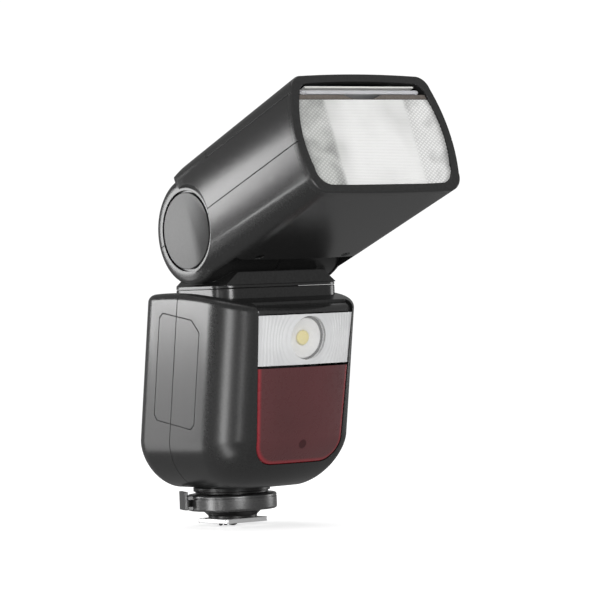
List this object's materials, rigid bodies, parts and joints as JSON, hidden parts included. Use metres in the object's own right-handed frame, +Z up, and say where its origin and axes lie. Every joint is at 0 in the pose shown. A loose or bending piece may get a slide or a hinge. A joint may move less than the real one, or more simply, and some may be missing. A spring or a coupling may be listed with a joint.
{
  "type": "speedlight flash",
  "caption": "Hot shoe camera flash: leaning battery body with front lamp window and rear display, swivel neck, and a tilting zoom head behind a ribbed lens.",
  "frame": {"origin": "centre of the hot shoe plate's underside", "axes": "+Z up, away from the camera shoe; -Y is the side the body lamp faces; +X is to the right of somebody who faces that side"},
  "size_m": [0.0678, 0.1204, 0.1577],
  "materials": {
    "shell": "satin charcoal, fine moulded grain",
    "gloss_black": "polished black",
    "red_window": "polished dark red, lets infrared through",
    "clear_window": "clear plastic, finely ribbed",
    "lens": "moulded lens ribs and prisms",
    "steel": "ground and plated",
    "black_metal": "black anodised, turned",
    "contact": "gold plated",
    "reflector": "polished, silvered",
    "tube": "clear quartz",
    "white": "plain white",
    "amber": "phosphor of a white lamp",
    "board": "circuit board",
    "can": "sleeved can",
    "grey": "plain grey",
    "taupe": "smoked plastic",
    "rubber": "soft flap",
    "key": "silicone key top",
    "screen": "dark display pane",
    "screw": "blackened steel"
  },
  "bodies": {
    "flash_body": {"assist_lamp": "red_window", "battery_bay": "grey", "body_front_shell": "shell", "body_rear_shell": "shell", "foot_screws": "steel", "foot_stem": "black_metal", "front_brow": "gloss_black", "front_window": "clear_window", "hot_shoe_plate": "steel", "lamp_chip": "amber", "lamp_cup": "white", "lcd_module": "grey", "lcd_window": "screen", "light_sensor": "gloss_black", "main_board": "board", "main_capacitor": "can", "port_block": "grey", "red_panel": "red_window", "swivel_collar": "shell", "swivel_detent_plate": "steel", "sync_socket": "steel", "usb_socket": "steel"},
    "lock_ring": {"lock_ring": "black_metal"},
    "lock_pin": {"lock_pin": "steel"},
    "shoe_contacts": {"shoe_contacts": "contact"},
    "battery": {"battery_cover": "shell", "battery_pack": "grey"},
    "port_cover": {"port_cover": "rubber"},
    "soft_key_1": {"soft_key_1": "key"},
    "soft_key_2": {"soft_key_2": "key"},
    "soft_key_3": {"soft_key_3": "key"},
    "soft_key_4": {"soft_key_4": "key"},
    "mode_button": {"mode_button": "key"},
    "lamp_button": {"lamp_button": "key"},
    "wireless_button": {"wireless_button": "key"},
    "test_button": {"test_button": "key"},
    "set_button": {"set_button": "key"},
    "select_dial": {"select_dial": "gloss_black"},
    "power_switch": {"power_switch": "shell"},
    "swivel": {"swivel_yoke": "shell", "neck_tube": "shell", "retaining_clip": "steel"},
    "head": {"head_lower_shell": "shell", "head_upper_shell": "shell", "head_top_cover": "shell", "hinge_caps": "shell", "head_screws": "screw", "front_bezel": "shell", "fresnel_lens": "lens", "panel_guide": "taupe", "zoom_rail": "steel", "zoom_motor": "can", "head_board": "board"},
    "wide_panel": {"wide_panel": "clear_window"},
    "catchlight_card": {"catchlight_card": "white"},
    "zoom_lamp": {"zoom_reflector": "reflector", "flash_tube": "tube", "tube_caps": "white", "zoom_carriage": "white"},
    "lead_screw": {"lead_screw": "steel"}
  },
  "joints": [
    {"name": "swivel_turn", "type": "hinge", "parent": "flash_body", "child": "swivel", "pos_m": [0, -0.019, 0.085], "axis": [0, 0, 1], "range_deg": [-180, 180]},
    {"name": "head_tilt", "type": "hinge", "parent": "swivel", "child": "head", "pos_m": [0, -0.019, 0.1053], "axis": [-1, 0, 0], "range_deg": [-21, 99]},
    {"name": "wide_panel_slide", "type": "slide", "parent": "head", "child": "wide_panel", "axis": [0, -0.9336, 0.3584], "range_m": [0, 0.04]},
    {"name": "catchlight_slide", "type": "slide", "parent": "head", "child": "catchlight_card", "axis": [0, -0.9336, 0.3584], "range_m": [0, 0.04]},
    {"name": "zoom_slide", "type": "slide", "parent": "head", "child": "zoom_lamp", "axis": [0, 0.9336, -0.3584], "range_m": [0, 0.0175]},
    {"name": "lead_screw_turn", "type": "hinge", "parent": "head", "child": "lead_screw", "pos_m": [0.0266, -0.02133, 0.09923], "axis": [0, 0.9336, -0.3584], "range_deg": [-5, 2105]},
    {"name": "lock_ring_turn", "type": "hinge", "parent": "flash_body", "child": "lock_ring", "pos_m": [0, 0, 0.0075], "axis": [0, 0, 1], "range_deg": [0, 60]},
    {"name": "lock_pin_drop", "type": "slide", "parent": "flash_body", "child": "lock_pin", "axis": [0, 0, -1], "range_m": [0, 0.00185]},
    {"name": "contact_press", "type": "slide", "parent": "flash_body", "child": "shoe_contacts", "axis": [0, 0, 1], "range_m": [0, 0.001], "stiffness_N_per_m": 300, "springref_m": -0.0003},
    {"name": "battery_slide", "type": "slide", "parent": "flash_body", "child": "battery", "axis": [-1, 0, 0], "range_m": [0, 0.055]},
    {"name": "port_cover_swing", "type": "hinge", "parent": "flash_body", "child": "port_cover", "pos_m": [0.0294, -0.00391, 0.05507], "axis": [0, -0.1564, 0.9877], "range_deg": [0, 100]},
    {"name": "soft_key_1_press", "type": "slide", "parent": "flash_body", "child": "soft_key_1", "axis": [0, -0.9877, -0.1564], "range_m": [0, 0.0008], "stiffness_N_per_m": 900, "springref_m": -0.0003},
    {"name": "soft_key_2_press", "type": "slide", "parent": "flash_body", "child": "soft_key_2", "axis": [0, -0.9877, -0.1564], "range_m": [0, 0.0008], "stiffness_N_per_m": 900, "springref_m": -0.0003},
    {"name": "soft_key_3_press", "type": "slide", "parent": "flash_body", "child": "soft_key_3", "axis": [0, -0.9877, -0.1564], "range_m": [0, 0.0008], "stiffness_N_per_m": 900, "springref_m": -0.0003},
    {"name": "soft_key_4_press", "type": "slide", "parent": "flash_body", "child": "soft_key_4", "axis": [0, -0.9877, -0.1564], "range_m": [0, 0.0008], "stiffness_N_per_m": 900, "springref_m": -0.0003},
    {"name": "mode_button_press", "type": "slide", "parent": "flash_body", "child": "mode_button", "axis": [0, -0.9877, -0.1564], "range_m": [0, 0.0008], "stiffness_N_per_m": 900, "springref_m": -0.0003},
    {"name": "lamp_button_press", "type": "slide", "parent": "flash_body", "child": "lamp_button", "axis": [0, -0.9877, -0.1564], "range_m": [0, 0.0008], "stiffness_N_per_m": 900, "springref_m": -0.0003},
    {"name": "wireless_button_press", "type": "slide", "parent": "flash_body", "child": "wireless_button", "axis": [0, -0.9877, -0.1564], "range_m": [0, 0.0008], "stiffness_N_per_m": 900, "springref_m": -0.0003},
    {"name": "test_button_press", "type": "slide", "parent": "flash_body", "child": "test_button", "axis": [0, -0.9877, -0.1564], "range_m": [0, 0.0008], "stiffness_N_per_m": 900, "springref_m": -0.0003},
    {"name": "set_button_press", "type": "slide", "parent": "flash_body", "child": "set_button", "axis": [0, -0.9877, -0.1564], "range_m": [0, 0.0008], "stiffness_N_per_m": 900, "springref_m": -0.0003},
    {"name": "select_dial_turn", "type": "hinge", "parent": "flash_body", "child": "select_dial", "pos_m": [0, 0.01907, 0.03876], "axis": [0, 0.9877, 0.1564], "continuous": true},
    {"name": "power_switch_slide", "type": "slide", "parent": "flash_body", "child": "power_switch", "axis": [1, 0, 0], "range_m": [-0.005, 0.005]}
  ],
  "couplings": [
    {"joint": "lock_pin_drop", "follows": "lock_ring_turn", "m_per_rad": 0.0017189},
    {"joint": "lead_screw_turn", "follows": "zoom_slide", "rad_per_m": 2094.4}
  ]
}
